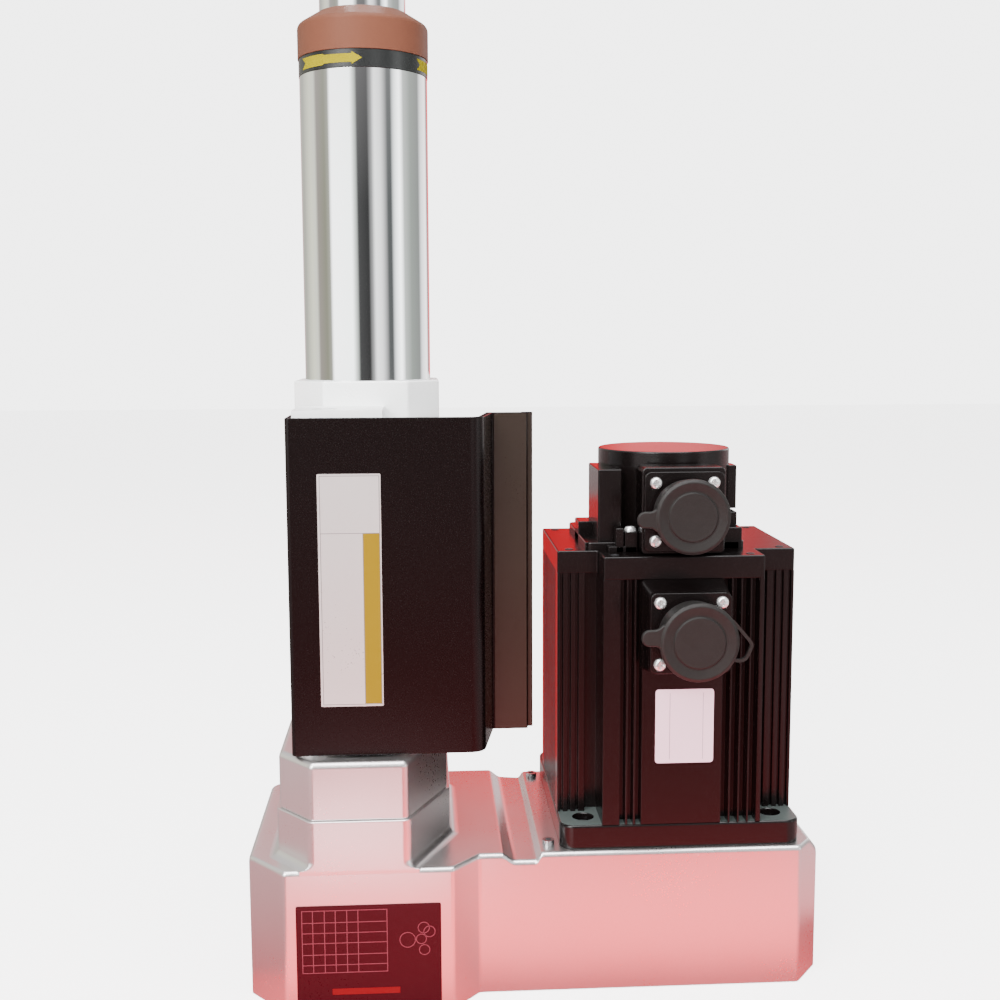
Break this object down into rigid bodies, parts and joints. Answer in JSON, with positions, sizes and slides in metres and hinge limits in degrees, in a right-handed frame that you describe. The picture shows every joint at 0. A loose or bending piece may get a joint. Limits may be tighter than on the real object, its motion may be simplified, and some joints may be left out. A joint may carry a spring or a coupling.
{
  "type": "self-feed drilling unit",
  "caption": "Self-feed drilling unit: a chromed barrel with a pneumatic quill and geared spindle stands on a gear case beside a servo motor.",
  "frame": {"origin": "where the spindle axis meets the flat bottom of the gear case", "axes": "+Z along the spindle towards the tool, -Y to the front with the safety cover, +X towards the motor"},
  "size_m": [0.3085, 0.1757, 0.5729],
  "materials": {
    "cast_silver": "satin silver paint",
    "cover_black": "satin black anodised",
    "motor_black": "satin black paint",
    "chrome": "hard chromed and ground",
    "phenolic": "brown satin",
    "band_black": "satin black",
    "bronze": "machined",
    "seal_rubber": "matte dark rubber",
    "bright_steel": "bright",
    "machined_steel": "machined",
    "black_oxide": "black oxide",
    "aluminium": "milled",
    "black_plastic": "fine texture",
    "socket_shell": "dark anodised",
    "laminations": "varnished"
  },
  "bodies": {
    "housing": {"gear_case": "cast_silver", "bottom_cover": "cast_silver", "bottom_screws": "black_oxide", "case_screws": "bright_steel", "body_casting": "cast_silver", "barrel": "chrome", "direction_band": "band_black", "nose_collar": "phenolic", "wiper_seal": "seal_rubber", "guide_bush": "bronze", "tail_bush": "bronze", "safety_cover": "cover_black", "cover_screws": "black_oxide", "control_bracket": "aluminium", "bracket_screws": "black_oxide", "damper_rod": "chrome", "sensor_rail": "aluminium", "feed_sensors": "black_plastic", "sleeve_bearings": "bright_steel", "idler_pin": "bright_steel", "motor_bearings": "bright_steel", "motor_stator": "laminations", "motor_flange": "motor_black", "motor_screws": "black_oxide", "motor_body": "motor_black", "end_bell": "motor_black", "encoder_housing": "motor_black", "lead_clip": "motor_black", "power_box": "motor_black", "encoder_box": "motor_black", "power_socket": "socket_shell", "encoder_socket": "socket_shell", "socket_screws": "bright_steel"},
    "quill_unit": {"quill": "chrome", "quill_cap": "black_oxide", "quill_piston": "machined_steel", "piston_seal": "seal_rubber", "spindle_bearings": "bright_steel", "feed_arm": "machined_steel", "stop_rod": "bright_steel", "stop_nuts": "black_oxide", "sensor_dog": "bright_steel", "damper_body": "aluminium"},
    "spindle_unit": {"spindle": "machined_steel", "collet_nut": "black_oxide", "collet": "bright_steel"},
    "sleeve_unit": {"drive_sleeve": "machined_steel", "spindle_gear": "machined_steel"},
    "idler_unit": {"idler_gear": "machined_steel", "idler_bearings": "bright_steel"},
    "rotor_unit": {"motor_gear": "machined_steel", "motor_rotor": "machined_steel"},
    "knob_unit": {"speed_knob": "black_plastic"},
    "power_cap_unit": {"power_cap": "seal_rubber"},
    "encoder_cap_unit": {"encoder_cap": "seal_rubber"}
  },
  "joints": [
    {"name": "motor_spin", "type": "hinge", "parent": "housing", "child": "rotor_unit", "pos_m": [0.166, -0.015, 0.1], "axis": [0, 0, 1], "continuous": true},
    {"name": "idler_spin", "type": "hinge", "parent": "housing", "child": "idler_unit", "pos_m": [0.08005, -0.0178, 0.042], "axis": [0, 0, 1], "continuous": true},
    {"name": "sleeve_spin", "type": "hinge", "parent": "housing", "child": "sleeve_unit", "pos_m": [0, 0, 0.05], "axis": [0, 0, 1], "continuous": true},
    {"name": "feed", "type": "slide", "parent": "housing", "child": "quill_unit", "axis": [0, 0, 1], "range_m": [0, 0.08]},
    {"name": "spindle_spin", "type": "hinge", "parent": "quill_unit", "child": "spindle_unit", "pos_m": [0, 0, 0.4], "axis": [0, 0, 1], "continuous": true},
    {"name": "speed_setting", "type": "hinge", "parent": "quill_unit", "child": "knob_unit", "pos_m": [0.024, -0.068, 0.262], "axis": [0, 0, 1], "range_deg": [-150, 150]},
    {"name": "power_cap_pull", "type": "slide", "parent": "housing", "child": "power_cap_unit", "axis": [0, -1, 0], "range_m": [0, 0.03]},
    {"name": "encoder_cap_pull", "type": "slide", "parent": "housing", "child": "encoder_cap_unit", "axis": [0, -1, 0], "range_m": [0, 0.03]}
  ],
  "couplings": [
    {"joint": "idler_spin", "follows": "motor_spin", "ratio": -0.86957},
    {"joint": "sleeve_spin", "follows": "motor_spin", "ratio": 1.1111},
    {"joint": "spindle_spin", "follows": "motor_spin", "ratio": 1.1111}
  ]
}
